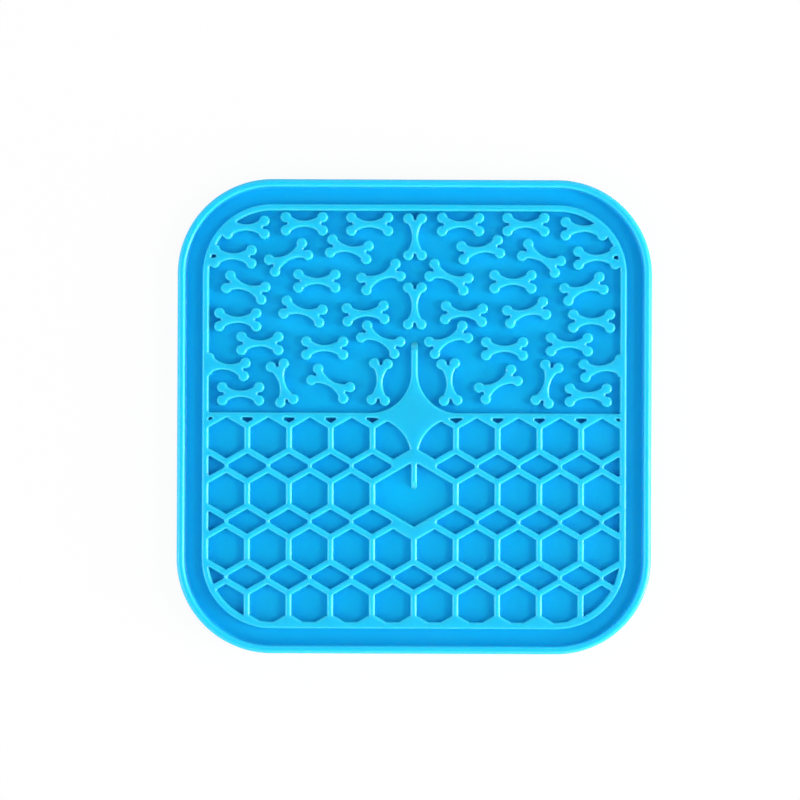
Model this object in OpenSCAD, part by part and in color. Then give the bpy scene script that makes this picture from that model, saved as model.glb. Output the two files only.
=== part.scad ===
// Lick mat: a square mat of soft silicone with a raised rim. The back half of its
// face carries small bones, the front half a honeycomb, and a bar with a
// four-pointed star parts the two. Suction cups underneath hold it to a smooth floor.
// The origin is at the middle of the footprint, on the lips of the cups, and +Y
// points to the half with the bones.

/* [Mat] */
// Length of each side of the mat
mat_size = 200; // [194:1:208]
// Radius of the mat's four corners
corner_r = 40; // [36:1:44]
// Thickness of the flat sheet that carries everything
sheet_t = 1.8; // [1.2:0.1:3]

/* [Rim] */
// Width of the raised rim
rim_w = 3.3; // [2.6:0.1:4]
// Height of the rim above the sheet
rim_h = 5.2; // [4.2:0.1:8]
// Radius of the rim's rounded top edges
rim_edge_r = 1.2; // [0.4:0.1:1.3]

/* [Frame] */
// Width of the gutter between the rim and the frame
gutter_w = 7.1; // [6:0.1:8]
// Width of the thin frame round both patterns
frame_w = 2.9; // [2:0.1:3.4]
// Height of the frame, the bones and the honeycomb above the sheet
ridge_h = 3.8; // [2.4:0.1:5]
// Width of the bevel along the top edges of the relief
ridge_edge = 0.5; // [0.2:0.05:0.6]

/* [Divider and star] */
// Width of the bar that parts the bones from the honeycomb
divider_w = 2.3; // [1.6:0.1:3]
// Distance from the middle of the mat to the middle of the bar
divider_y = 0.5; // [-1:0.1:2]
// Radius of the two hollow sides of the star that face the bones
star_r = 17; // [15:0.5:18]
// Width of the star's upright points
spike_w = 3; // [2.4:0.1:3.6]
// Length of the upper point beyond the star's hollow sides
spike_l = 13; // [9:0.1:14]
// Length of the slope at the upper point's end
spike_ramp_l = 4.2; // [2:0.1:6]

/* [Honeycomb] */
// Number of cells across
comb_columns = 10; // [8:2:12]
// Thickness of the honeycomb's walls
comb_wall = 2.7; // [2:0.1:3.2]
// Radius in the corners of the cells
cell_corner_r = 0.5; // [0.2:0.1:0.8]
// Radius in the sharp ends of the diamonds between the rows
diamond_corner_r = 0.9; // [0.5:0.1:1.2]
// Width of the fin in the large cell
fin_w = 2.6; // [2:0.1:3.2]
// Length of the fin
fin_l = 11.7; // [8:0.1:16]
// Length of the slope at the fin's end
fin_ramp_l = 3.4; // [2:0.1:5]

/* [Bones] */
// Overall length of a bone
bone_l = 20.1; // [17:0.1:20.4]
// Width of a bone across its ends
bone_w = 10.2; // [9.4:0.1:10.4]
// Radius of the four knobs of a bone
knob_r = 2.3; // [1.8:0.05:2.4]
// Width of a bone at its waist
waist_w = 2.8; // [2:0.1:3.6]
// Radius of the hollow sides between the knobs
waist_r = 10; // [9:0.5:14]

/* [Suction cups] */
// Number of cups along each side
cup_count = 6; // [4:1:6]
// Distance between the middles of neighbouring cups
cup_pitch = 30; // [26:1:31]
// Radius of a cup's lip
cup_lip_r = 9; // [6:0.5:12]
// Thickness of the lip at its edge
cup_lip_t = 0.6; // [0.4:0.1:1]
// Width of the flat ring that the lip rests on
cup_seat_w = 0.8; // [0.4:0.1:1.5]
// Radius of the neck under the sheet
cup_neck_r = 4; // [3:0.5:5.5]
// Length of the straight part of the neck
cup_neck_l = 0.6; // [0.3:0.1:1]
// Height of a cup from its lip to the sheet
cup_h = 3; // [2.4:0.1:5]
// Depth of the hollow in a cup
cup_hollow_h = 1.3; // [0.8:0.1:1.8]

/* [Hidden] */
$fn = 96;
// One overrun for every cut that has to pass through a face
overrun = 1;
// How far a bone's knobs reach into its notches, so that their walls cross
knob_lap = 0.02;
// How far a bevelling cut has spread where it ends, an overrun above the ridges
flare = ridge_edge + overrun;

// Heights
sheet_z = cup_h;
face_z = sheet_z + sheet_t;

// Frame, seen from the middle of the mat
frame_half = mat_size / 2 - rim_w - gutter_w;
frame_in = frame_half - frame_w;
frame_r = corner_r - rim_w - gutter_w;
frame_in_r = frame_r - frame_w;

// Honeycomb: upright walls of neighbours are shared, and the outermost ones are the frame
cell_pitch = (2 * frame_in + comb_wall) / comb_columns;
cell_w = cell_pitch - comb_wall;
cell_tip = cell_w / sqrt(3);
ring_tip = (cell_pitch + comb_wall) / sqrt(3);
row_pitch = 2 * ring_tip;
divider_low = divider_y - divider_w / 2;
divider_high = divider_y + divider_w / 2;
comb_top = divider_low - cell_tip + ring_tip;
// Rows that reach the frame. A rest lower than this share of a row gets no cells of its own.
row_rest_share = 0.2;
comb_rows = ceil((comb_top + frame_in) / row_pitch - row_rest_share);
diamond_half_w = cell_pitch / 2;
diamond_half_h = diamond_half_w * tan(30);

// Large cell, which takes the place of the two middle cells of the second row
pool_row = 1;
pool_half_w = cell_pitch - comb_wall / 2;
pool_side = cell_tip;
pool_y = comb_top - ring_tip - pool_row * row_pitch;
pool_apex = pool_side / 2 + pool_half_w * tan(30);

// Hollow sides of the star that face the honeycomb: its lower point ends half way
// through the wall above the large cell
star_low_r = divider_low - pool_y - pool_apex - comb_wall / 2 / cos(30);

// Bone: knobs round four centres, and a notch between the two knobs of an end
knob_x = bone_l / 2 - knob_r;
knob_y = bone_w / 2 - knob_r;
notch_r = knob_y - knob_r;
// The hollow sides run up to this line, inside the knobs
arm_y = knob_y + knob_r / 2;

// Places of the bones in the right half: across and up, as shares of the way from the
// middle of the mat to where they would meet the frame, and the turn in degrees. The
// left half mirrors them.
bone_place_share = [
    [0.25, 0.995, 0],
    [0.61, 0.996, 0],
    [0.365, 0.883, 10],
    [0.708, 0.864, -27],
    [0.19, 0.754, -22.5],
    [0.54, 0.7, 0],
    [0.944, 0.689, 18],
    [0.272, 0.537, -4],
    [0.623, 0.557, 14],
    [0.974, 0.498, 0],
    [0.19, 0.418, 26],
    [0.495, 0.353, 0],
    [0.852, 0.376, 0],
    [0.182, 0.192, -86],
    [0.469, 0.179, 30],
    [0.706, 0.185, 75],
    [0.957, 0.115, 0]
];
// Bones on the middle line, upright
middle_bone_share = [
    [0, 0.99, 90],
    [0, 0.61, 90]
];
// Bones that run into the frame's corner and are one with it: how far they lie in from
// its curve as a share of their length, the angle round the curve, and their own turn
corner_bone_share = [
    [0.201, 60, 0],
    [0.417, 23.7, 1]
];
// Bones that run into the frame's upright side and are one with it: how far they lie in
// as a share of their length, how far up as a share of the frame's inner half width,
// and their turn
side_bone_share = [
    [0.362, 0.239, 8]
];

// Half the room that a bone takes along one axis, from its cosine and sine to that axis
function bone_reach(along, across) = (abs(along) * bone_l + abs(across) * bone_w) / 2;

// Place and turn of a bone from its shares, on the side given by -1 or 1
function bone_place(b, side) = [
    side * b[0] * (frame_in - bone_reach(cos(b[2]), sin(b[2]))),
    b[1] * (frame_in - bone_reach(sin(b[2]), cos(b[2]))),
    side * b[2]
];

// Every free bone, the middle ones first and then pairs from the back to the front
bone_places = concat(
    [for (b = middle_bone_share) bone_place(b, 1)],
    [for (b = bone_place_share) for (side = [-1, 1]) bone_place(b, side)]
);
// The bones of the right half that are one with the frame
frame_bone_places = concat(
    [for (b = corner_bone_share)
        let (corner = frame_in - frame_in_r, reach = frame_in_r - b[0] * bone_l)
        [corner + reach * cos(b[1]), corner + reach * sin(b[1]), b[2]]],
    [for (b = side_bone_share) [frame_in - b[0] * bone_l, b[1] * frame_in, b[2]]]
);
bone_names = [for (i = [1:len(bone_places)]) str("bone_", i < 10 ? "0" : "", i)];

// Rows of the honeycomb that run from side to side. The large cell parts the row that it lies in.
whole_rows = [for (i = [0:comb_rows - 1]) if (i != pool_row) i];
row_names = [for (i = whole_rows) str("honeycomb_row_", i + 1)];
part_row_name = str("honeycomb_row_", pool_row + 1);

// Unit vector along v
function unit(v) = v / norm(v);

// Arc of radius r that rounds corner c of a convex outline between points p and n
function corner_arc(p, c, n, r, steps) =
    let (u = unit(p - c), v = unit(n - c), half = acos(u * v) / 2)
    let (centre = c + unit(u + v) * r / sin(half), first = c + u * r / tan(half) - centre)
    let (start = atan2(first[1], first[0]), turn = 180 - 2 * half)
    [for (i = [0:steps]) centre + r * [cos(start + turn * i / steps), sin(start + turn * i / steps)]];

// Convex outline, anticlockwise, with each corner rounded by its own radius
function rounded_outline(points, radii, steps) =
    let (n = len(points))
    [for (i = [0:n - 1]) each corner_arc(points[(i + n - 1) % n], points[i], points[(i + 1) % n], radii[i], steps)];

// Six-sided cell with upright sides of length side, set out from its walls by spread
function hexagon_outline(half_w, side, spread) =
    let (w = half_w + spread, s = side / 2 + spread * tan(30), t = s + w * tan(30), r = cell_corner_r + spread)
    rounded_outline([[w, -s], [w, s], [0, t], [-w, s], [-w, -s], [0, -t]], [r, r, r, r, r, r], 1);

// Diamond between two rows, set out from its walls by spread
function diamond_outline(spread) =
    let (w = diamond_half_w + spread / sin(30), h = diamond_half_h + spread / cos(30))
    let (sharp = diamond_corner_r + spread, blunt = cell_corner_r + spread)
    rounded_outline([[w, 0], [0, h], [-w, 0], [0, -h]], [sharp, blunt, sharp, blunt], 3);

// Solid through convex outlines of as many points each, stacked at the given heights
module stacked(outlines, heights) {
    n = len(outlines[0]);
    top = len(heights) - 1;
    points = [for (j = [0:top]) for (p = outlines[j]) [p[0], p[1], heights[j]]];
    sides = [for (j = [0:top - 1]) for (i = [0:n - 1])
        [j * n + i, j * n + n + i, j * n + n + (i + 1) % n, j * n + (i + 1) % n]];
    caps = [[for (i = [0:n - 1]) i], [for (i = [n - 1:-1:0]) top * n + i]];
    polyhedron(points = points, faces = concat(sides, caps));
}

// Cut for a cell or a diamond: straight walls that flare along the ridges' top edges
module pocket_cut(straight, flared) {
    stacked(
        [straight, straight, flared],
        [face_z - overrun, face_z + ridge_h - ridge_edge, face_z + ridge_h + overrun]
    );
}

module cell_cut() {
    pocket_cut(hexagon_outline(cell_w / 2, cell_tip, 0), hexagon_outline(cell_w / 2, cell_tip, flare));
}

module diamond_cut() {
    pocket_cut(diamond_outline(0), diamond_outline(flare));
}

module pool_cut() {
    translate([0, pool_y, 0])
        pocket_cut(hexagon_outline(pool_half_w, pool_side, 0), hexagon_outline(pool_half_w, pool_side, flare));
}

// Square slab of the given half side with round corners
module rounded_slab(half, r, h) {
    difference() {
        translate([-half, -half, 0])
            cube([2 * half, 2 * half, h]);
        for (q = [0:3])
            rotate(90 * q)
                difference() {
                    translate([half - r, half - r, -overrun])
                        cube([r + overrun, r + overrun, h + 2 * overrun]);
                    translate([half - r, half - r, -2 * overrun])
                        cylinder(r = r, h = h + 4 * overrun);
                }
    }
}

// Carries the child profile, drawn at its distance from a corner's centre, round a square
module around_square(half, r) {
    for (q = [0:3])
        rotate(90 * q)
            translate([half - r, half - r, 0]) {
                rotate_extrude(angle = 90)
                    children();
                rotate([90, 0, 0])
                    linear_extrude(2 * (half - r))
                        children();
            }
}

// The sheet, flat on both faces
module base_sheet() {
    color([0.06, 0.62, 0.90])
        translate([0, 0, sheet_z])
            rounded_slab(mat_size / 2, corner_r, sheet_t);
}

// Section of the rim, with both top edges rounded
module rim_section() {
    difference() {
        translate([corner_r - rim_w, 0])
            square([rim_w, rim_h]);
        for (side = [-1, 1])
            translate([corner_r - rim_w / 2 + side * (rim_w / 2 - rim_edge_r), rim_h - rim_edge_r])
                difference() {
                    translate([side > 0 ? 0 : -rim_edge_r - overrun, 0])
                        square(rim_edge_r + overrun);
                    circle(r = rim_edge_r);
                }
    }
}

// The raised rim along the mat's edge
module outer_rim() {
    color([0.20, 0.80, 0.97])
        translate([0, 0, face_z])
            around_square(mat_size / 2, corner_r)
                rim_section();
}

// Button-shaped end of a bone, bevelled along its top edge
module knob() {
    r = knob_r + knob_lap;
    cylinder(r = r, h = ridge_h - ridge_edge);
    translate([0, 0, ridge_h - ridge_edge])
        cylinder(r1 = r, r2 = r - ridge_edge, h = ridge_edge);
}

// Round cut whose wall flares along the ridges' top edges
module round_cut(r) {
    translate([0, 0, -overrun])
        cylinder(r = r, h = ridge_h - ridge_edge + overrun);
    translate([0, 0, ridge_h - ridge_edge])
        cylinder(r1 = r, r2 = r + flare, h = flare);
}

// One bone, standing on z = 0 with its length along X
module bone() {
    difference() {
        translate([-knob_x, -arm_y, 0])
            cube([2 * knob_x, 2 * arm_y, ridge_h]);
        for (side = [-1, 1]) {
            translate([0, side * (waist_w / 2 + waist_r), 0])
                round_cut(waist_r);
            translate([side * knob_x, 0, 0])
                round_cut(notch_r);
        }
    }
    for (x = [-knob_x, knob_x], y = [-knob_y, knob_y])
        translate([x, y, 0])
            knob();
}

// A bone at its place on the sheet
module placed_bone(place) {
    translate([place[0], place[1], face_z])
        rotate(place[2])
            bone();
}

module free_bone(i) {
    color([0.22, 0.80, 0.97])
        placed_bone(bone_places[i]);
}

// Section of the frame, bevelled on its outer side
module frame_section() {
    polygon([
        [frame_in_r, 0],
        [frame_r, 0],
        [frame_r, ridge_h - ridge_edge],
        [frame_r - ridge_edge, ridge_h],
        [frame_in_r, ridge_h]
    ]);
}

// The thin frame, with the bones that run into it
module inner_frame() {
    color([0.18, 0.76, 0.96]) {
        translate([0, 0, face_z])
            around_square(frame_half, frame_r)
                frame_section();
        intersection() {
            translate([0, 0, face_z - overrun])
                rounded_slab(frame_half - frame_w / 2, frame_r - frame_w / 2, ridge_h + 2 * overrun);
            for (b = frame_bone_places, side = [-1, 1])
                placed_bone([side * b[0], b[1], side * b[2]]);
        }
    }
}

// Half of the bar, from the star to the frame, bevelled on the bones' side
module divider_bar(side) {
    mirror([side < 0 ? 1 : 0, 0, 0])
        translate([star_r + spike_w / 2, divider_low, face_z])
            rotate([90, 0, 90])
                linear_extrude(frame_in - star_r - spike_w / 2)
                    polygon([
                        [0, 0],
                        [divider_w, 0],
                        [divider_w, ridge_h - ridge_edge],
                        [divider_w - ridge_edge, ridge_h],
                        [0, ridge_h]
                    ]);
}

module divider_bar_left() {
    color([0.20, 0.78, 0.96])
        divider_bar(-1);
}

module divider_bar_right() {
    color([0.20, 0.78, 0.96])
        divider_bar(1);
}

// Ridge of width w along +Y that slopes down to the sheet at its end
module sloping_ridge(w, l, ramp_l) {
    intersection() {
        rotate([90, 0, 90])
            translate([0, 0, -w / 2])
                linear_extrude(w)
                    polygon([[0, 0], [l, 0], [l - ramp_l, ridge_h], [0, ridge_h]]);
        translate([0, l + overrun, 0])
            rotate([90, 0, 0])
                linear_extrude(l + 2 * overrun)
                    polygon([
                        [-w / 2, -overrun],
                        [w / 2, -overrun],
                        [w / 2, ridge_h - ridge_edge],
                        [w / 2 - ridge_edge, ridge_h],
                        [ridge_edge - w / 2, ridge_h],
                        [-w / 2, ridge_h - ridge_edge]
                    ]);
    }
}

// Middle of the star: two blocks, one on each side of the bar, hollowed by round cuts
module star_body() {
    half_w = star_r + spike_w / 2;
    low_half_w = star_low_r + spike_w / 2;
    translate([0, divider_high + star_r, face_z])
        difference() {
            translate([-half_w, -star_r - divider_w, 0])
                cube([2 * half_w, star_r + divider_w, ridge_h]);
            for (x = [-half_w, half_w])
                translate([x, 0, 0])
                    round_cut(star_r);
        }
    translate([0, divider_low - star_low_r, face_z])
        difference() {
            translate([-low_half_w, 0, 0])
                cube([2 * low_half_w, star_low_r, ridge_h]);
            for (x = [-low_half_w, low_half_w])
                translate([x, 0, -overrun])
                    cylinder(r = star_low_r, h = ridge_h + 2 * overrun);
        }
}

// The star in the middle of the bar, with its long upper point. Its lower point
// ends on the wall above the large cell.
module centre_star() {
    color([0.24, 0.82, 0.98]) {
        star_body();
        translate([0, divider_high + star_r, face_z])
            sloping_ridge(spike_w, spike_l, spike_ramp_l);
    }
}

// The cells of a row, the large cell aside
module row_cells(i) {
    for (k = [0:comb_columns - 1])
        if (i != pool_row || abs(k + 0.5 - comb_columns / 2) > 1)
            translate([(k + 0.5 - comb_columns / 2) * cell_pitch, comb_top - ring_tip - i * row_pitch, 0])
                cell_cut();
}

// The diamonds along the top of row i. Beside the large cell the middle one stays solid.
module row_diamonds(i) {
    for (k = [0:comb_columns])
        if (k != comb_columns / 2 || i < pool_row || i > pool_row + 1)
            translate([(k - comb_columns / 2) * cell_pitch, comb_top - i * row_pitch, 0])
                diamond_cut();
}

// One row of the honeycomb, which meets the next one at the crossings of the walls
module row_body(i) {
    high = i == 0 ? divider_low : comb_top - i * row_pitch;
    low = i == comb_rows - 1 ? -frame_in : comb_top - (i + 1) * row_pitch;
    difference() {
        intersection() {
            translate([-frame_in, low, face_z])
                cube([2 * frame_in, high - low, ridge_h]);
            translate([0, 0, face_z - overrun])
                rounded_slab(frame_in, frame_in_r, ridge_h + 2 * overrun);
        }
        row_cells(i);
        row_diamonds(i);
        if (i < comb_rows - 1)
            row_diamonds(i + 1);
        if (abs(i - pool_row) < 2)
            pool_cut();
        if (i == 0)
            star_body();
    }
}

module honeycomb_row(i) {
    color([0.19, 0.79, 0.98])
        row_body(i);
}

// The half of the large cell's row on one side of it
module honeycomb_part_row(side) {
    color([0.19, 0.79, 0.98])
        intersection() {
            row_body(pool_row);
            translate([side > 0 ? 0 : -frame_half, -frame_half, 0])
                cube([frame_half, 2 * frame_half, face_z + ridge_h + overrun]);
        }
}

// The fin that hangs from the upper corner of the large cell
module pool_fin() {
    color([0.22, 0.80, 0.97])
        intersection() {
            translate([0, pool_y + pool_apex, face_z])
                rotate(180)
                    sloping_ridge(fin_w, fin_l, fin_ramp_l);
            pool_cut();
        }
}

// One suction cup, hollowed by a sphere that leaves a flat ring to rest on
module suction_cup() {
    hollow_rim_r = cup_lip_r - cup_seat_w;
    hollow_r = (hollow_rim_r ^ 2 + cup_hollow_h ^ 2) / (2 * cup_hollow_h);
    difference() {
        rotate_extrude()
            polygon([
                [0, 0],
                [cup_lip_r, 0],
                [cup_lip_r, cup_lip_t],
                [cup_neck_r, cup_h - cup_neck_l],
                [cup_neck_r, cup_h],
                [0, cup_h]
            ]);
        translate([0, 0, cup_hollow_h - hollow_r])
            sphere(r = hollow_r);
    }
}

// The grid of cups under the sheet
module suction_cups() {
    color([0.10, 0.66, 0.92])
        for (x = [0:cup_count - 1], y = [0:cup_count - 1])
            translate([(x - (cup_count - 1) / 2) * cup_pitch, (y - (cup_count - 1) / 2) * cup_pitch, 0])
                suction_cup();
}

base_sheet();
outer_rim();
inner_frame();
divider_bar_left();
divider_bar_right();
centre_star();
pool_fin();
honeycomb_part_row(-1);
honeycomb_part_row(1);
for (i = [0:len(whole_rows) - 1]) honeycomb_row(whole_rows[i]);
for (i = [0:len(bone_places) - 1]) free_bone(i);
suction_cups();
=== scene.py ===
import math

import bpy
import numpy as np
from mathutils.geometry import delaunay_2d_cdt
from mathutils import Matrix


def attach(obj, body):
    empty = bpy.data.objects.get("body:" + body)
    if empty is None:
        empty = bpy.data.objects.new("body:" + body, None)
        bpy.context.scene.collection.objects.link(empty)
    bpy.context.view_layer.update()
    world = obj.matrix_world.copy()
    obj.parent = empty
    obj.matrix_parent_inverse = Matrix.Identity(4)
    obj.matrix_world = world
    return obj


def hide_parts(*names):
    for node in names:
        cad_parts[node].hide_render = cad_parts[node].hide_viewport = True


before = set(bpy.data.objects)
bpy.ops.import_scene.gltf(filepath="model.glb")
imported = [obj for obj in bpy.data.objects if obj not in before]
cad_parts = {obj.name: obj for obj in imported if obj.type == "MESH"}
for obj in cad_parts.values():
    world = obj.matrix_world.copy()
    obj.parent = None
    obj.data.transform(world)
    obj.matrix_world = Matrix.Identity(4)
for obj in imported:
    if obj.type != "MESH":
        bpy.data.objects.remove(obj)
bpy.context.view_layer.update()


# View
# Straight down on the mat from a metre above it, a little off its middle and turned
# a quarter of a degree, as the photograph is. Lengths in this file are in millimetres.
MM = 0.001
VIEW_X, VIEW_Y, VIEW_HEIGHT = -6.07, 7.01, 1010.0
VIEW_TURN = math.radians(0.23)
PICTURE_PIXELS, PIXELS_PER_MM, MEASURED_AT = 800, 2.366, 6.0

camera_data = bpy.data.cameras.new("view_camera")
camera_data.sensor_width = 36.0
lens_pixels = PIXELS_PER_MM * (VIEW_HEIGHT - MEASURED_AT)
camera_data.lens = lens_pixels / PICTURE_PIXELS * camera_data.sensor_width
camera_data.clip_start = 0.05
camera = bpy.data.objects.new("view_camera", camera_data)
camera.location = (VIEW_X * MM, VIEW_Y * MM, VIEW_HEIGHT * MM)
camera.rotation_euler = (0.0, 0.0, VIEW_TURN)
bpy.context.scene.collection.objects.link(camera)
bpy.context.scene.camera = camera


# Silicone
# The whole mat is one moulding of soft, slightly see-through cyan silicone with a satin skin. Light
# sinks about a millimetre into the thin sheet and several millimetres into the thick ridges. On top
# of that, the ridges' colour is painted paler and a little redder, which is painted light and
# sheen. The sheet's colour is painted deeper, which is painted shade between the ridges.
SHEET_LOW, FLOOR, LIP_TOP = 3.0, 4.8, 10.0
SHADED_THIN_BELOW, LIT_THICK_ABOVE = FLOOR - 0.2, FLOOR + 1.8
# Painted shade and light: the sheet's cyan is deeper, standing in for the shade between the ridges.
# The ridges' cyan is paler and slightly redder, standing in for the light and sheen on them.
SHADED_SHEET_CYAN, LIT_RIDGE_CYAN = (0.001, 0.515, 0.88, 1.0), (0.016, 0.55, 0.89, 1.0)
SHEET_DEPTH, RIDGE_DEPTH, RED_GREEN_BLUE_REACH = 1.2, 8.0, (0.10, 0.75, 0.85)
CLOUD_SCALE, CLOUD_SHARE = 38.0, 0.14
GRAIN_SCALE, GRAIN_STRENGTH, GRAIN_HIGH = 1500.0, 0.06, 0.2
SATIN_LOW, SATIN_HIGH, SILICONE_IOR, SHINE = 0.21, 0.29, 1.41, 0.8


def feed(tree, node, sockets):
    """Gives each named socket of a node its number or colour, or the output that feeds it."""
    for socket, value in sockets.items():
        if isinstance(value, bpy.types.NodeSocket):
            tree.links.new(value, node.inputs[socket])
        else:
            node.inputs[socket].default_value = value
    return node


def satin_silicone():
    """Colour and depth go from the sheet's to the ridges' by a smooth step in height. The colour
    step is painted shade on the low sheet and painted light, with a little painted sheen, on the
    ridges; the depth step is the silicone's own. The colour drifts by slow noise and the gloss with
    it, and a fine grain dulls the skin."""
    material = bpy.data.materials.new("cyan_silicone")
    material.use_nodes = True
    tree = material.node_tree
    new = tree.nodes.new
    place = new("ShaderNodeTexCoord").outputs["Object"]

    split = feed(tree, new("ShaderNodeSeparateXYZ"), {"Vector": place})
    clouds = feed(tree, new("ShaderNodeTexNoise"), {
        "Scale": CLOUD_SCALE, "Detail": 3.0, "Vector": place,
    })
    thick_and_lit = feed(tree, new("ShaderNodeMapRange"), {
        "From Min": SHADED_THIN_BELOW * MM, "From Max": LIT_THICK_ABOVE * MM, "Value": split.outputs["Z"],
    })
    thick_and_lit.interpolation_type = "SMOOTHSTEP"
    drift = feed(tree, new("ShaderNodeMapRange"), {
        "To Min": -CLOUD_SHARE, "To Max": CLOUD_SHARE, "Value": clouds.outputs["Fac"],
    })
    lit_share_and_mottle = feed(tree, new("ShaderNodeMath"), {
        0: thick_and_lit.outputs["Result"], 1: drift.outputs["Result"],
    })
    lit_share_and_mottle.use_clamp = True
    # This mix paints shade on the low sheet and light on the ridges, by height, with a random drift
    # from the clouds.
    painted_light_blend = new("ShaderNodeMix")
    painted_light_blend.data_type = "RGBA"
    feed(tree, painted_light_blend, {"A": SHADED_SHEET_CYAN, "B": LIT_RIDGE_CYAN, "Factor": lit_share_and_mottle.outputs["Value"]})

    grain = feed(tree, new("ShaderNodeTexNoise"), {
        "Scale": GRAIN_SCALE, "Detail": 2.0, "Vector": place,
    })
    satin = feed(tree, new("ShaderNodeMapRange"), {
        "To Min": SATIN_LOW, "To Max": SATIN_HIGH, "Value": clouds.outputs["Fac"],
    })
    bump = feed(tree, new("ShaderNodeBump"), {
        "Strength": GRAIN_STRENGTH, "Distance": GRAIN_HIGH * MM, "Height": grain.outputs["Fac"],
    })
    sinking = feed(tree, new("ShaderNodeMapRange"), {
        "To Min": SHEET_DEPTH * MM, "To Max": RIDGE_DEPTH * MM, "Value": thick_and_lit.outputs["Result"],
    })
    feed(tree, tree.nodes["Principled BSDF"], {
        "Base Color": painted_light_blend.outputs["Result"],
        "Roughness": satin.outputs["Result"],
        "Normal": bump.outputs["Normal"],
        "IOR": SILICONE_IOR,
        "Specular IOR Level": SHINE,
        "Subsurface Weight": 1.0,
        "Subsurface Radius": RED_GREEN_BLUE_REACH,
        "Subsurface Scale": sinking.outputs["Result"],
    })
    return material


skin = satin_silicone()


# Sheet and rim
# The flat sheet with the rim that stands up along its edge, moulded in one. The rim's
# lip is rounded on both sides, and its foot runs into the gutter's floor in a hollow.
MAT_HALF, MAT_CORNER, RIM_WIDE, UNDER_WIDE = 100.0, 40.0, 3.3, 6.0
LOW_R, LIP_OUT_R, LIP_IN_R, FOOT_R = 0.5, 1.65, 1.0, 0.3
STEP_TURN, STEP_EASE, SMALL_R, LEAST_TURN = 0.26, 0.25, 1.0, 0.12


def arc_outline(arcs):
    """Closed outline made of arcs (x, y, radius, start, turn), joined by straight lines. Along an
    arc the point is the centre plus the radius times the direction of the angle; the outward
    normal is that direction, reversed where the arc turns clockwise. A step turns by STEP_TURN
    over the root of the radius plus STEP_EASE. A small arc that hardly turns is one point."""
    points, normals = [], []
    for x, y, radius, start, turn in arcs:
        steps = max(1, math.ceil(abs(turn) / (STEP_TURN / math.sqrt(radius + STEP_EASE))))
        angle = start + turn * np.linspace(0.0, 1.0, steps + 1)
        if abs(turn) < LEAST_TURN and radius < SMALL_R:
            angle = np.array([start + turn / 2])
        way = np.stack([np.cos(angle), np.sin(angle)], axis=1)
        points.append(np.array([x, y]) + radius * way)
        normals.append(way if turn >= 0 else -way)
    return np.concatenate(points), np.concatenate(normals)


def corner_arcs(corners, radii):
    """Arcs that round the corners of an anticlockwise outline. A corner's arc touches both sides
    at the radius times the tangent of half the turn from the corner."""
    corners = np.array(corners, float)
    arriving = corners - np.roll(corners, 1, axis=0)
    arriving /= np.linalg.norm(arriving, axis=1)[:, None]
    leaving = np.roll(arriving, -1, axis=0)
    turn = np.arctan2(
        arriving[:, 0] * leaving[:, 1] - arriving[:, 1] * leaving[:, 0],
        (arriving * leaving).sum(axis=1),
    )
    side = np.where(turn >= 0, 1.0, -1.0)[:, None]
    radii = np.broadcast_to(np.asarray(radii, float), turn.shape)
    left = np.stack([-arriving[:, 1], arriving[:, 0]], axis=1)
    start = corners - arriving * (radii * np.tan(np.abs(turn) / 2))[:, None]
    centre = start + side * left * radii[:, None]
    first = -side * left
    angle = np.arctan2(first[:, 1], first[:, 0])
    return list(zip(centre[:, 0], centre[:, 1], radii, angle, turn))


def round_square(half, corner_r):
    """Outline of a square about the middle, with round corners."""
    corners = [(half, half), (-half, half), (-half, -half), (half, -half)]
    return arc_outline(corner_arcs(corners, corner_r))


def round_rows(shift, height, radius, steps, start, end):
    """Profile rows along an arc: its centre plus the radius times the direction of an angle that
    goes from start to end, in degrees. The normal is that direction where the angle falls, and
    its opposite where the angle grows, in a hollow."""
    side = 1.0 if end < start else -1.0
    return [
        (shift + radius * math.cos(a), height + radius * math.sin(a),
         side * math.cos(a), side * math.sin(a))
        for a in np.radians(np.linspace(start, end, steps + 1))
    ]


def carry(points, towards, profile):
    """Profile rows (shift, height, shift part and height part of the normal) carried along an
    outline: each point moves along its direction towards by the shift, and up by the height. A
    number in a row may be an array with one value for each point."""
    shift, height, across, up = (
        np.array([np.broadcast_to(row[column], len(points)) for row in profile])
        for column in range(4)
    )
    x = points[:, 0] + shift * towards[:, 0]
    y = points[:, 1] + shift * towards[:, 1]
    places = np.stack([x, y, height], axis=2)
    normals = np.stack([across * towards[:, 0], across * towards[:, 1], up], axis=2)
    return places, normals


def strip_faces(first, levels, around, facing_in):
    """Quads between the levels of a carried profile. They face into the outline or out of it."""
    i = np.arange(around)
    n = (i + 1) % around
    low = first + around * np.arange(levels - 1)[:, None]
    ring = [low + i, low + around + i, low + around + n, low + n]
    if not facing_in:
        ring.reverse()
    return np.stack(ring, axis=2).reshape(-1, 4).tolist()


def closed_faces(first, levels, around, facing_in):
    """Quads between the levels, with a flat face over the first level and one over the last."""
    start = list(range(first, first + around))
    end = [number + (levels - 1) * around for number in start]
    if facing_in:
        end.reverse()
    else:
        start.reverse()
    return strip_faces(first, levels, around, facing_in) + [start, end]


def silicone_piece(name, places, normals, faces, *nodes):
    """A smooth mesh from whole arrays, in millimetres, with the normals of the surface that it
    follows where these are given. It replaces the named nodes of the frame and rides on the
    mat's only body."""
    mesh = bpy.data.meshes.new(name)
    mesh.from_pydata((places * MM).tolist(), [], faces)
    mesh.materials.append(skin)
    mesh.polygons.foreach_set("use_smooth", np.ones(len(mesh.polygons), bool))
    mesh.update()
    if normals is not None:
        lengths = np.linalg.norm(normals, axis=1)[:, None]
        mesh.normals_split_custom_set_from_vertices((normals / lengths).tolist())
    piece = bpy.data.objects.new(name, mesh)
    bpy.context.scene.collection.objects.link(piece)
    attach(piece, "root")
    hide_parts(*nodes)


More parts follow.
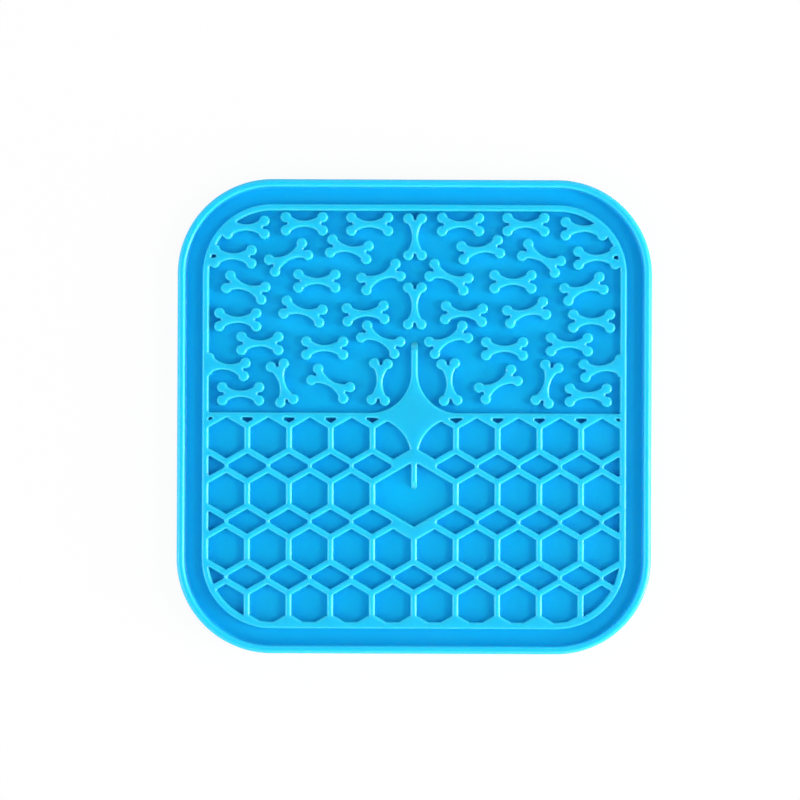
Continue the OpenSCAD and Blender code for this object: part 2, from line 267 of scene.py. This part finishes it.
def mat_profile():
    """Section through sheet and rim, inwards from the mat's edge: under the sheet, round its low
    edge, up the side, over the lip and down into the gutter."""
    return [
        (UNDER_WIDE, SHEET_LOW, 0.0, -1.0),
        *round_rows(LOW_R, SHEET_LOW + LOW_R, LOW_R, 4, 270, 180),
        *round_rows(LIP_OUT_R, LIP_TOP - LIP_OUT_R, LIP_OUT_R, 8, 180, 90),
        *round_rows(RIM_WIDE - LIP_IN_R, LIP_TOP - LIP_IN_R, LIP_IN_R, 8, 90, 0),
        *round_rows(RIM_WIDE + FOOT_R, FLOOR + FOOT_R, FOOT_R, 6, 180, 270),
    ]


def mat_body():
    """The section carried round the mat's edge, closed by the flat floor and underside."""
    points, outward = round_square(MAT_HALF, MAT_CORNER)
    places, normals = carry(points, -outward, mat_profile())
    faces = closed_faces(0, *places.shape[:2], False)
    return places.reshape(-1, 3), normals.reshape(-1, 3), faces


silicone_piece("mat_body", *mat_body(), "base_sheet", "outer_rim")


# Bones
# Small solid bones moulded onto the sheet, all from one outline: four knobs, long hollow
# sides between them, and a notch between the two knobs of an end.
RIDGE_HIGH, DRAFT, SINK, BONE_EDGE_R = 3.8, 0.02, 0.3, 1.0
FIELD_HALF, FIELD_CORNER = 86.7, 26.7
BONE_LONG, BONE_WIDE, KNOB_R, WAIST, HOLLOW_R, NECK_R = 20.1, 10.2, 2.3, 2.8, 10.0, 0.8
KNOB_X, KNOB_Y = BONE_LONG / 2 - KNOB_R, BONE_WIDE / 2 - KNOB_R
SAME_PLACE = 1e-6


def bone_arcs():
    """Arcs of a bone's outline, anticlockwise. A small arc leads from a knob into the hollow side:
    its centre lies where it touches the knob from outside and the hollow side from within."""
    hollow_y, notch_r = WAIST / 2 + HOLLOW_R, KNOB_Y - KNOB_R
    to_knob = np.array([KNOB_X, KNOB_Y - hollow_y])
    away = float(np.linalg.norm(to_knob))
    inner, outer = HOLLOW_R - NECK_R, KNOB_R + NECK_R
    along = (inner ** 2 - outer ** 2 + away ** 2) / (2 * away)
    aside = math.sqrt(inner ** 2 - along ** 2)
    x, up = (along * to_knob + aside * np.array([to_knob[1], -to_knob[0]])) / away
    y = hollow_y + up
    at_knob = math.atan2(y - KNOB_Y, x - KNOB_X)
    at_hollow = math.atan2(up, x)
    quarter, half = math.pi / 2, math.pi
    upper = [
        (KNOB_X, KNOB_Y, KNOB_R, -quarter, quarter + at_knob),
        (x, y, NECK_R, at_knob - half, at_hollow - at_knob + half),
        (0.0, hollow_y, HOLLOW_R, at_hollow, -half - 2 * at_hollow),
        (-x, y, NECK_R, -half - at_hollow, at_hollow - at_knob + half),
        (-KNOB_X, KNOB_Y, KNOB_R, half - at_knob, quarter + at_knob),
        (-KNOB_X, 0.0, notch_r, quarter, -half),
    ]
    return upper + [(-cx, -cy, r, start + half, turn) for cx, cy, r, start, turn in upper]


def ridge_profile(edge_r):
    """Section of a ridge's side, from its hidden foot to its top: a wall with a little draft, and
    a round edge that may change along the outline."""
    return [
        (0.0, -SINK, -1.0, 0.0),
        (0.0, 0.0, -1.0, 0.0),
        *round_rows(DRAFT + edge_r, RIDGE_HIGH - edge_r, edge_r, 8, 180, 90),
    ]


def bone_outline(x, y, turn):
    """Outline of a bone at its place, with its outward normals. Doubled points are left out."""
    points, outward = arc_outline(bone_arcs())
    keep = np.linalg.norm(points - np.roll(points, 1, axis=0), axis=1) > SAME_PLACE
    cos, sin = math.cos(math.radians(turn)), math.sin(math.radians(turn))
    spin = np.array([[cos, sin], [-sin, cos]])
    return points[keep] @ spin + (x, y), outward[keep] @ spin


def bone(x, y, turn):
    """A bone's wall carried inwards from its outline and closed by a flat top and foot."""
    points, outward = bone_outline(x, y, turn)
    places, normals = carry(points, -outward, ridge_profile(BONE_EDGE_R))
    faces = closed_faces(0, *places.shape[:2], False)
    places[:, :, 2] += FLOOR
    return places.reshape(-1, 3), normals.reshape(-1, 3), faces


def bone_reach(along, across):
    """How far a bone reaches from its middle, from the shares of its length and its width."""
    return (abs(along) * BONE_LONG + abs(across) * BONE_WIDE) / 2


def bone_place(across, up, turn, side):
    """Middle of a bone, from the shares of its way to the frame, and its turn."""
    cos, sin = math.cos(math.radians(turn)), math.sin(math.radians(turn))
    return (
        side * across * (FIELD_HALF - bone_reach(cos, sin)),
        up * (FIELD_HALF - bone_reach(sin, cos)),
        side * turn,
    )


# Two bones stand upright on the middle line. Each of the others stands on both sides:
# its shares of the way to the frame's side and to its back, and its turn in degrees.
MIDDLE_BONES = [(0, 0.990, 90), (0, 0.610, 90)]
BONE_PAIRS = [
    (0.250, 0.995, 0), (0.610, 0.996, 0), (0.365, 0.883, 10), (0.708, 0.864, -27),
    (0.190, 0.754, -22.5), (0.540, 0.700, 0), (0.944, 0.689, 18), (0.272, 0.537, -4),
    (0.623, 0.557, 14), (0.974, 0.498, 0), (0.190, 0.418, 26), (0.495, 0.353, 0),
    (0.852, 0.376, 0), (0.182, 0.192, -86), (0.469, 0.179, 30), (0.706, 0.185, 75),
    (0.957, 0.115, 0),
]
bone_places = [bone_place(*shares, 1) for shares in MIDDLE_BONES]
bone_places += [bone_place(*shares, side) for shares in BONE_PAIRS for side in (-1, 1)]
for number, place in enumerate(bone_places, start=1):
    name = f"bone_{number:02d}"
    silicone_piece(f"soft_{name}", *bone(*place), name)


# Frame, bar, star and honeycomb
# One net of ridges that stands on the sheet. It is worked out as a plate with pockets:
# the field of the bones, the cells and the diamonds between them, each with its own wall.
FRAME_WIDE = 2.9
COMB_WALL, CELL_ROUND, DIAMOND_ROUND, COLUMNS, ROWS, POOL_ROW = 2.7, 0.5, 0.9, 10, 4, 1
BAR_LOW, BAR_HIGH, STAR_HOLLOW = -0.65, 1.65, 17.0
SPIKE_WIDE, SPIKE_TIP, SPIKE_RAMP, SPIKE_TIP_R = 3.0, 31.65, 4.2, 1.45
FIN_WIDE, FIN_LONG, FIN_RAMP, FIN_TIP_R, FIN_ROOT_R = 2.6, 11.7, 3.4, 1.25, 0.4
RAMP_END, RAMP_LEAST, RAMP_CLEAR, RAMP_STEPS = 0.1, 0.02, 2.0, (1.2, 1.0, 0.7, 0.42)
EDGE_R, EDGE_SHARE, JOIN_R, SHARP_R, SHORT_SIDE, SIDE_SHARE = 1.0, 0.96, 0.2, 0.01, 0.3, 0.45
CORNER_CUTS, STAR_CUTS, POINTS_AT_ONCE, TINY, BARELY_AHEAD = 30, 24, 300, 1e-9, 1e-4

CELL_TILT = math.tan(math.pi / 6)
PITCH = (2 * FIELD_HALF + COMB_WALL) / COLUMNS
CELL_HALF = (PITCH - COMB_WALL) / 2
CELL_SIDE = 2 * CELL_HALF / math.sqrt(3)
RING_SIDE = (PITCH + COMB_WALL) / math.sqrt(3)
COMB_TOP = BAR_LOW - CELL_SIDE + RING_SIDE
POOL_HALF = PITCH - COMB_WALL / 2
POOL_Y = COMB_TOP - RING_SIDE * (2 * POOL_ROW + 1)
POOL_APEX = POOL_Y + CELL_SIDE / 2 + POOL_HALF * CELL_TILT
FIN_TIP = POOL_APEX - FIN_LONG
STAR_LOW_HOLLOW = BAR_LOW - POOL_APEX - COMB_WALL / 2 / math.cos(math.pi / 6)


def hexagon(x, y, half, side):
    """Corners of a cell with upright sides."""
    low, tip = side / 2, side / 2 + half * CELL_TILT
    shape = np.array([(half, -low), (half, low), (0, tip), (-half, low), (-half, -low), (0, -tip)])
    return shape + (x, y)


def diamond(x, y):
    """Corners of the diamond between four cells."""
    half = PITCH / 2
    tall = half * CELL_TILT
    return np.array([(half, 0), (0, tall), (-half, 0), (0, -tall)]) + (x, y)


def curve_cutters(x, y, radius, start, steps):
    """Lines that touch a quarter of a circle from outside, anticlockwise from start: a point on
    each and its outward direction."""
    angle = start + math.pi / 2 * (np.arange(steps) + 0.5) / steps
    way = np.stack([np.cos(angle), np.sin(angle)], axis=1)
    return [(np.array([x, y]) + radius * w, w) for w in way]


def cutters_at(row, x):
    """Lines that bound the pockets: the frame's sides and front corners and the bar, and for the
    pockets beside the star the hollow of its lower half."""
    low = FIELD_HALF - FIELD_CORNER
    lines = [
        (np.array([FIELD_HALF, 0.0]), np.array([1.0, 0.0])),
        (np.array([-FIELD_HALF, 0.0]), np.array([-1.0, 0.0])),
        (np.array([0.0, -FIELD_HALF]), np.array([0.0, -1.0])),
        (np.array([0.0, BAR_LOW]), np.array([0.0, 1.0])),
    ]
    lines += curve_cutters(low, -low, FIELD_CORNER, -math.pi / 2, CORNER_CUTS)
    lines += curve_cutters(-low, -low, FIELD_CORNER, -math.pi, CORNER_CUTS)
    if row == 0 and abs(x) < 1.25 * PITCH:
        star_x = math.copysign(STAR_LOW_HOLLOW + SPIKE_WIDE / 2, x)
        start = math.pi / 2 if x > 0 else 0.0
        star_y = BAR_LOW - STAR_LOW_HOLLOW
        lines += curve_cutters(star_x, star_y, STAR_LOW_HOLLOW, start, STAR_CUTS)
    return lines


def clipped(corners, radii, cutters):
    """Part of a convex outline on the inner side of each cutting line. Corners that a cut makes
    get the cells' radius."""
    kept = [(np.array(c), r) for c, r in zip(corners, radii)]
    for place, way in cutters:
        depth = [float(np.dot(c - place, way)) for c, r in kept]
        if max(depth) <= TINY:
            continue
        cut = []
        for (c, r), d, (c_next, _), d_next in zip(
            kept, depth, kept[1:] + kept[:1], depth[1:] + depth[:1]
        ):
            if d <= 0:
                cut.append((c, r))
            if (d < 0 < d_next) or (d_next < 0 < d):
                cut.append((c + (c_next - c) * d / (d - d_next), CELL_ROUND))
        kept = cut
    return [c for c, r in kept], [r for c, r in kept]


def sides_ahead(corners):
    """The side that follows each corner, and its length."""
    ahead = np.roll(corners, -1, axis=0) - corners
    return ahead, np.linalg.norm(ahead, axis=1)


def round_pocket(corners, radii):
    """Outline of a pocket. Where many short sides follow a curve their corners stay sharp. A corner
    between short sides gets what radius they leave room for."""
    corners = np.array(corners)
    keep = sides_ahead(corners)[1] > SHORT_SIDE
    corners, radii = corners[keep], np.array(radii)[keep]
    ahead, long_ahead = sides_ahead(corners)
    way = ahead / long_ahead[:, None]
    turn = np.arccos(np.clip((way * np.roll(way, 1, axis=0)).sum(axis=1), -1, 1))
    shorter = np.minimum(long_ahead, np.roll(long_ahead, 1))
    room = SIDE_SHARE * shorter / np.tan(turn / 2 + TINY)
    radii = np.where(turn >= LEAST_TURN, np.minimum(radii, room), SHARP_R)
    return arc_outline(corner_arcs(corners, radii))


def comb_pockets():
    """Outlines of the cells and the diamonds, row by row from the bar. The pool takes the place
    of two cells, and the star, the pool and its walls that of the diamonds on the middle line."""
    found = []
    for row in range(ROWS):
        y = COMB_TOP - RING_SIDE * (2 * row + 1)
        for k in range(COLUMNS):
            x = (k + 0.5 - COLUMNS / 2) * PITCH
            if row != POOL_ROW or abs(x) > PITCH:
                cell = hexagon(x, y, CELL_HALF, CELL_SIDE)
                shape = clipped(cell, [CELL_ROUND] * 6, cutters_at(row, x))
                found.append(round_pocket(*shape))
        for k in range(COLUMNS + 1):
            x = (k - COLUMNS / 2) * PITCH
            if 2 * k != COLUMNS or row > POOL_ROW + 1:
                gap = diamond(x, y + RING_SIDE)
                shape = clipped(gap, [DIAMOND_ROUND, CELL_ROUND] * 2, cutters_at(row, x))
                found.append(round_pocket(*shape))
    return found


def tongue(half, root, tip, ramp, root_r, tip_r):
    """Corners and radii of a narrow ridge that reaches into a pocket, along one side from root
    to tip and back along the other, with a few corners on its slope."""
    side = [(half, root), *((half, tip - ramp * step) for step in RAMP_STEPS), (half, tip)]
    radii = [root_r] + [SHARP_R] * len(RAMP_STEPS) + [tip_r]
    return side + [(-x, y) for x, y in side[::-1]], radii + radii[::-1]


def pool_pocket():
    """Outline of the large cell: a hexagon with the fin in the place of its back corner."""
    corners = hexagon(0, POOL_Y, POOL_HALF, CELL_SIDE).tolist()
    root = POOL_APEX - FIN_WIDE / 2 * CELL_TILT
    fin, fin_radii = tongue(FIN_WIDE / 2, root, FIN_TIP, -FIN_RAMP, FIN_ROOT_R, FIN_TIP_R)
    radii = [CELL_ROUND] * 2 + fin_radii + [CELL_ROUND] * 3
    return arc_outline(corner_arcs(corners[:2] + fin + corners[3:], radii))


def meetings(first, second):
    """Where two closed outlines cross: for each place the way along both, as the number of the
    side and the share of it, the place itself, and whether the second turns left of the first."""
    a, b = first, np.roll(first, -1, axis=0)
    c, d = second, np.roll(second, -1, axis=0)
    u, v = (b - a)[:, None], (d - c)[None]
    gap = c[None] - a[:, None]
    turn = u[..., 0] * v[..., 1] - u[..., 1] * v[..., 0]
    safe = np.where(np.abs(turn) < TINY, 1.0, turn)
    s = (gap[..., 0] * v[..., 1] - gap[..., 1] * v[..., 0]) / safe
    t = (gap[..., 0] * u[..., 1] - gap[..., 1] * u[..., 0]) / safe
    hit = (np.abs(turn) > TINY) & (s >= 0) & (s < 1) & (t >= 0) & (t < 1)
    return [
        (i + s[i, j], j + t[i, j], a[i] + s[i, j] * (b[i] - a[i]), bool(turn[i, j] > 0))
        for i, j in np.argwhere(hit)
    ]


def stretch(outline, start, end):
    """Points and directions of a closed outline between two ways along it."""
    count = len(outline[0])
    if end <= start:
        end += count
    steps = np.arange(math.floor(start) + 1, math.floor(end) + 1) % count
    return outline[0][steps], outline[1][steps]


def heading(outline, way):
    """Angle of an outline's direction at a way along it."""
    number, share = int(way), way % 1.0
    after = (number + 1) % len(outline[1])
    x, y = (1 - share) * outline[1][number] + share * outline[1][after]
    return math.atan2(y, x)


def led_round(pocket, bone_line):
    """A pocket led round a bone that stands in its side. Both lines are moved into the pocket by
    JOIN_R; where they cross lies the middle of the small arc that joins them."""
    lines = [pocket, (bone_line[0][::-1], -bone_line[1][::-1])]
    moved = [points - JOIN_R * into for points, into in lines]
    crossings = sorted(meetings(*moved), key=lambda c: c[0])
    loops, left = [], [n for n, c in enumerate(crossings) if not c[3]]
    while left:
        number, pieces = left[0], []
        while number in left or crossings[number][3]:
            here = crossings[number]
            on_bone = 1 if here[3] else 0
            if not on_bone:
                left.remove(number)
            ahead = [
                ((c[on_bone] - here[on_bone]) % len(lines[on_bone][0]), n)
                for n, c in enumerate(crossings) if c[3] != here[3]
            ]
            number = min(ahead)[1]
            there = crossings[number]
            pieces.append(stretch(lines[on_bone], here[on_bone], there[on_bone]))
            start, end = (heading(lines[n], there[n]) for n in (on_bone, 1 - on_bone))
            arc = (*there[2], JOIN_R, start, (end - start) % (2 * math.pi))
            pieces.append(arc_outline([arc]))
        loops.append(tuple(np.concatenate([p[k] for p in pieces]) for k in (0, 1)))
    return sorted(loops, key=lambda loop: -len(loop[0]))


def corner_bone(share, angle, turn):
    """Middle and turn of a bone that runs into the frame's corner: a share of its length inside
    the corner's curve, at an angle in degrees about the curve's centre."""
    far, angle = FIELD_CORNER - share * BONE_LONG, math.radians(angle)
    centre = FIELD_HALF - FIELD_CORNER
    return centre + far * math.cos(angle), centre + far * math.sin(angle), turn


# The bones that are one with the frame, on each side: two in its corner and one in its
# side, whose middle lies a share of its length inside.
FRAME_BONES = [
    corner_bone(0.201, 60, 0),
    corner_bone(0.417, 23.7, 1),
    (FIELD_HALF - 0.362 * BONE_LONG, 0.239 * FIELD_HALF, 8),
]


def bone_field():
    """Outlines of the bones' field, with the star's spike in its front side and led round the
    bones that run into the frame, which shut off small pockets of their own."""
    spike, spike_radii = tongue(
        -SPIKE_WIDE / 2, BAR_HIGH, SPIKE_TIP, SPIKE_RAMP, STAR_HOLLOW, SPIKE_TIP_R
    )
    corners = [
        (FIELD_HALF, BAR_HIGH), (FIELD_HALF, FIELD_HALF),
        (-FIELD_HALF, FIELD_HALF), (-FIELD_HALF, BAR_HIGH),
    ]
    radii = [CELL_ROUND, FIELD_CORNER, FIELD_CORNER, CELL_ROUND]
    loops = [arc_outline(corner_arcs(corners + spike, radii + spike_radii))]
    for x, y, turn in FRAME_BONES:
        for side in (-1, 1):
            loops = led_round(loops[0], bone_outline(side * x, y, side * turn)) + loops[1:]
    return loops


def half_widths(outlines):
    """Radius of the largest circle that fits in the ridge and touches its wall at each point: the
    least, over all sides, of the distance squared over twice the distance ahead."""
    points, into = (np.concatenate([outline[k] for outline in outlines]) for k in (0, 1))
    along = np.concatenate([sides_ahead(outline[0])[0] for outline in outlines])
    long_2 = np.maximum((along ** 2).sum(axis=1), TINY)
    found = []
    for some in np.array_split(np.arange(len(points)), 1 + len(points) // POINTS_AT_ONCE):
        away = points[some, None] - points
        share = np.clip((away * along).sum(axis=2) / long_2, 0.0, 1.0)
        gap = share[..., None] * along - away
        ahead, far_2 = (gap * into[some, None]).sum(axis=2), (gap ** 2).sum(axis=2)
        facing = (ahead > BARELY_AHEAD) & (far_2 > SAME_PLACE)
        radius = far_2 / np.where(facing, 2 * ahead, 1.0)
        found.append(np.where(facing, radius, np.inf).min(axis=1))
    return np.split(np.concatenate(found), np.cumsum([len(o[0]) for o in outlines])[:-1])


def filled(places, rings, facing_up):
    """Triangles of a flat face with holes, from the rings of vertex numbers that bound it; the
    outermost ring is the last. A triangle with its corners on one hole's ring, taken in the
    ring's order, turns anticlockwise only where it lies in the hole, and is left out there."""
    order = np.concatenate(rings)
    ring_of = np.zeros(len(places), int)
    edges = []
    for number, ring in enumerate(rings):
        ring_of[ring] = number
        start = sum(len(r) for r in rings[:number])
        edges += [(start + i, start + (i + 1) % len(ring)) for i in range(len(ring))]
    _, _, triangles, source, _, _ = delaunay_2d_cdt(
        places[order, :2].tolist(), edges, [], 1, SAME_PLACE
    )
    chosen = order[np.array([s[0] for s in source])]
    corners = np.sort(chosen[np.array(triangles)], axis=1)
    ahead = places[corners[:, 1], :2] - places[corners[:, 0], :2]
    across = places[corners[:, 2], :2] - places[corners[:, 0], :2]
    turn = ahead[:, 0] * across[:, 1] - ahead[:, 1] * across[:, 0]
    one_ring = ring_of[corners[:, 0]] == ring_of[corners[:, 2]]
    in_hole = one_ring & (ring_of[corners[:, 0]] < len(rings) - 1) & (turn > 0)
    keep = ~in_hole & (np.abs(turn) > TINY)
    reverse = (turn > 0) != facing_up
    corners[reverse] = corners[reverse][:, ::-1]
    return corners[keep].tolist()


def slopes(places, normals):
    """The spike and the fin slope to the sheet at their ends: heights are scaled by the share of
    the slope that is left, and the normals lean along it."""
    x, y, high = places[:, 0], places[:, 1], places[:, 2]
    in_spike = (np.abs(x) < SPIKE_WIDE) & (y > BAR_HIGH + STAR_HOLLOW)
    in_fin = (np.abs(x) < FIN_WIDE) & (y > FIN_TIP - RAMP_CLEAR) & (y < POOL_APEX - RAMP_CLEAR)
    spike_left = (SPIKE_TIP + RAMP_END - y) / SPIKE_RAMP
    fin_left = (y - FIN_TIP + RAMP_END) / FIN_RAMP
    left = np.where(in_spike, spike_left, np.where(in_fin, fin_left, 1.0))
    lean = np.where(in_spike, -1 / SPIKE_RAMP, np.where(in_fin, 1 / FIN_RAMP, 0.0))
    lean = np.where((left > 0) & (left < 1), lean, 0.0)
    left = np.clip(left, RAMP_LEAST, 1.0)
    raised = high > 0
    places[:, 2] = np.where(raised, high * left, high)
    normals[:, :2] *= np.where(raised, left, 1.0)[:, None]
    normals[:, 1] -= np.where(raised, normals[:, 2] * high * lean, 0.0)


def relief_net():
    """The walls of all pockets and of the frame's outside, each carried into the ridges, with
    one flat top and one hidden foot between them."""
    points, outward = round_square(FIELD_HALF + FRAME_WIDE, FIELD_CORNER + FRAME_WIDE)
    outlines = comb_pockets() + [pool_pocket()] + bone_field() + [(points, -outward)]
    places, normals, faces, low_rings, high_rings = [], [], [], [], []
    first = 0
    for (points, into), half in zip(outlines, half_widths(outlines)):
        edge_r = np.minimum(EDGE_R, EDGE_SHARE * half)
        carried, facing = carry(points, into, ridge_profile(edge_r))
        levels, around = carried.shape[:2]
        faces += strip_faces(first, levels, around, len(high_rings) < len(outlines) - 1)
        low_rings.append(first + np.arange(around))
        high_rings.append(first + (levels - 1) * around + np.arange(around))
        places.append(carried.reshape(-1, 3))
        normals.append(facing.reshape(-1, 3))
        first += levels * around
    places, normals = np.concatenate(places), np.concatenate(normals)
    faces += filled(places, high_rings, True)
    faces += filled(places, low_rings, False)
    slopes(places, normals)
    places[:, 2] += FLOOR
    return places, normals, faces


silicone_piece(
    "relief_net", *relief_net(),
    "inner_frame", "divider_bar_left", "divider_bar_right", "centre_star", "pool_fin",
    "honeycomb_row_1", "honeycomb_row_2_left", "honeycomb_row_2_right",
    "honeycomb_row_3", "honeycomb_row_4",
)


# Suction cups
# Thirty-six shallow cups moulded under the sheet, which hold the mat to a smooth floor.
# Each is a short neck that flares to a thin lip, hollow underneath.
CUPS, CUP_PITCH, CUP_LIP_R, CUP_LIP, CUP_SEAT, CUP_NECK_R = 6, 30.0, 9.0, 0.6, 0.8, 4.0
CUP_NECK, CUP_HIGH, CUP_HOLLOW, CUP_SINK, CUP_CENTRE_R = 0.6, 3.0, 1.3, 0.3, 0.02
CUP_AROUND, CUP_STEPS, LIP_STEPS, FLARE_POWER, LIP_FLAT = 40, 9, 3, 1.35, 0.8


def cup_profile():
    """Half section of a cup, from its middle in the sheet out over the neck and the lip and in
    again under the hollow, which is part of a sphere. The flare's radius grows by a power of its
    way down."""
    flare_high = CUP_HIGH - CUP_NECK
    t = np.linspace(0.0, 1.0, CUP_STEPS)
    flare_r = CUP_NECK_R + (CUP_LIP_R - CUP_NECK_R) * t ** FLARE_POWER
    flare_z = flare_high + (CUP_LIP - flare_high) * t
    rows = [(CUP_NECK_R, CUP_HIGH + CUP_SINK), (CUP_NECK_R, CUP_HIGH)]
    rows += list(zip(flare_r, flare_z))
    for share in np.linspace(0.0, 1.0, LIP_STEPS + 1)[1:]:
        inset = LIP_FLAT * CUP_LIP / 2 * (1 - math.cos(share * math.pi / 2))
        rows.append((CUP_LIP_R - inset, CUP_LIP * (1 - share)))
    hollow_rim = CUP_LIP_R - CUP_SEAT
    ball_r = (hollow_rim ** 2 + CUP_HOLLOW ** 2) / (2 * CUP_HOLLOW)
    for share in np.linspace(1.0, 0.0, CUP_STEPS):
        r = hollow_rim * share
        rows.append((max(r, CUP_CENTRE_R), CUP_HOLLOW - ball_r + math.sqrt(ball_r ** 2 - r ** 2)))
    return rows


def suction_cups():
    """The half section turned round each cup's axis, all cups in one array."""
    rows = cup_profile()
    angle = 2 * math.pi * np.arange(CUP_AROUND) / CUP_AROUND
    ring = np.stack([np.cos(angle), np.sin(angle)], axis=1)
    one = np.concatenate([
        np.concatenate([r * ring, np.full((CUP_AROUND, 1), z)], axis=1) for r, z in rows
    ])
    steps = (np.arange(CUPS) - (CUPS - 1) / 2) * CUP_PITCH
    places, faces = [], []
    for x in steps:
        for y in steps:
            faces += closed_faces(len(places) * len(one), len(rows), CUP_AROUND, True)
            places.append(one + (x, y, 0.0))
    return np.concatenate(places), None, faces


silicone_piece("soft_suction_cups", *suction_cups(), "suction_cups")


# Studio
# A white table that stays white to the camera, a wide soft lamp low on the right, a small
# one higher up, a weak wide one on the left, and an even surround that is dark overhead,
# so that the flat floors mirror no white.
TABLE_HALF, TABLE_DROP, LIT_WHITE, KEPT_WHITE = 3000.0, 0.2, 0.86, 0.93
LAMP_AWAY = 1.5
SKY_EVEN, SKY_OVERHEAD, SKY_FADE_FROM, SKY_FADE_TO = 0.90, 0.03, 0.85, 0.95
SKY_LEAN = (0.15, -0.40, 0.0)


def table_white():
    """White to the camera and through glass, apart from a share of the lit white that keeps the
    object's shadow; a plain lit white for all other light."""
    material = bpy.data.materials.new("table_white")
    material.use_nodes = True
    tree = material.node_tree
    new = tree.nodes.new
    lit = feed(tree, tree.nodes["Principled BSDF"], {
        "Base Color": (LIT_WHITE, LIT_WHITE, LIT_WHITE, 1.0),
        "Roughness": 0.9, "Specular IOR Level": 0.1,
    })
    white = feed(tree, new("ShaderNodeEmission"), {
        "Color": (1.0, 1.0, 1.0, 1.0), "Strength": 1.0,
    })
    path = new("ShaderNodeLightPath")
    seen = feed(tree, new("ShaderNodeMath"), {
        0: path.outputs["Is Camera Ray"], 1: path.outputs["Is Transmission Ray"],
    })
    seen.operation = "MAXIMUM"
    share = feed(tree, new("ShaderNodeMath"), {0: seen.outputs["Value"], 1: KEPT_WHITE})
    share.operation = "MULTIPLY"
    mixed = feed(tree, new("ShaderNodeMixShader"), {
        "Fac": share.outputs["Value"], 1: lit.outputs["BSDF"], 2: white.outputs["Emission"],
    })
    feed(tree, tree.nodes["Material Output"], {"Surface": mixed.outputs["Shader"]})
    return material


table_mesh = bpy.data.meshes.new("table_top")
table_corners = np.array([(-1, -1, 0), (1, -1, 0), (1, 1, 0), (-1, 1, 0)]) * TABLE_HALF
table_mesh.from_pydata(((table_corners - (0, 0, TABLE_DROP)) * MM).tolist(), [], [(0, 1, 2, 3)])
table_mesh.materials.append(table_white())
table = bpy.data.objects.new("table_top", table_mesh)
bpy.context.scene.collection.objects.link(table)


def soft_lamp(name, bearing, rise, size, power):
    """A square lamp a metre and a half from the mat, aimed at its middle, from its bearing and
    its rise over the table in degrees. Its size is in metres and its power in watts."""
    data = bpy.data.lights.new(name, "AREA")
    data.shape = "SQUARE"
    data.size = size
    data.energy = power
    lamp = bpy.data.objects.new(name, data)
    turn, lift = math.radians(bearing), math.radians(rise)
    lamp.location = (
        LAMP_AWAY * math.cos(lift) * math.cos(turn),
        LAMP_AWAY * math.cos(lift) * math.sin(turn),
        LAMP_AWAY * math.sin(lift),
    )
    lamp.rotation_euler = (0.0, math.pi / 2 - lift, turn)
    bpy.context.scene.collection.objects.link(lamp)


soft_lamp("right_lamp", -15, 11, 0.7, 22.0)
soft_lamp("window_lamp", 0, 46, 0.34, 5.2)
soft_lamp("left_lamp", 190, 32, 0.7, 4.5)


def surround():
    """White light from all round: its strength falls by a smooth step as a direction nears the
    one straight up, and is multiplied by one plus the direction's part along the lean."""
    world = bpy.data.worlds.new("surround")
    world.use_nodes = True
    tree = world.node_tree
    new = tree.nodes.new
    toward = new("ShaderNodeTexCoord").outputs["Generated"]
    upward = feed(tree, new("ShaderNodeSeparateXYZ"), {"Vector": toward})
    level = feed(tree, new("ShaderNodeMapRange"), {
        "From Min": SKY_FADE_FROM, "From Max": SKY_FADE_TO,
        "To Min": SKY_EVEN, "To Max": SKY_OVERHEAD, "Value": upward.outputs["Z"],
    })
    level.interpolation_type = "SMOOTHSTEP"
    aside = feed(tree, new("ShaderNodeVectorMath"), {0: toward, 1: SKY_LEAN})
    aside.operation = "DOT_PRODUCT"
    lean = feed(tree, new("ShaderNodeMath"), {0: aside.outputs["Value"], 1: 1.0})
    leaning = feed(tree, new("ShaderNodeMath"), {
        0: lean.outputs["Value"], 1: level.outputs["Result"],
    })
    leaning.operation = "MULTIPLY"
    feed(tree, tree.nodes["Background"], {
        "Color": (1.0, 1.0, 1.0, 1.0), "Strength": leaning.outputs["Value"],
    })
    return world


bpy.context.scene.world = surround()
bpy.context.scene.view_settings.view_transform = "Standard"
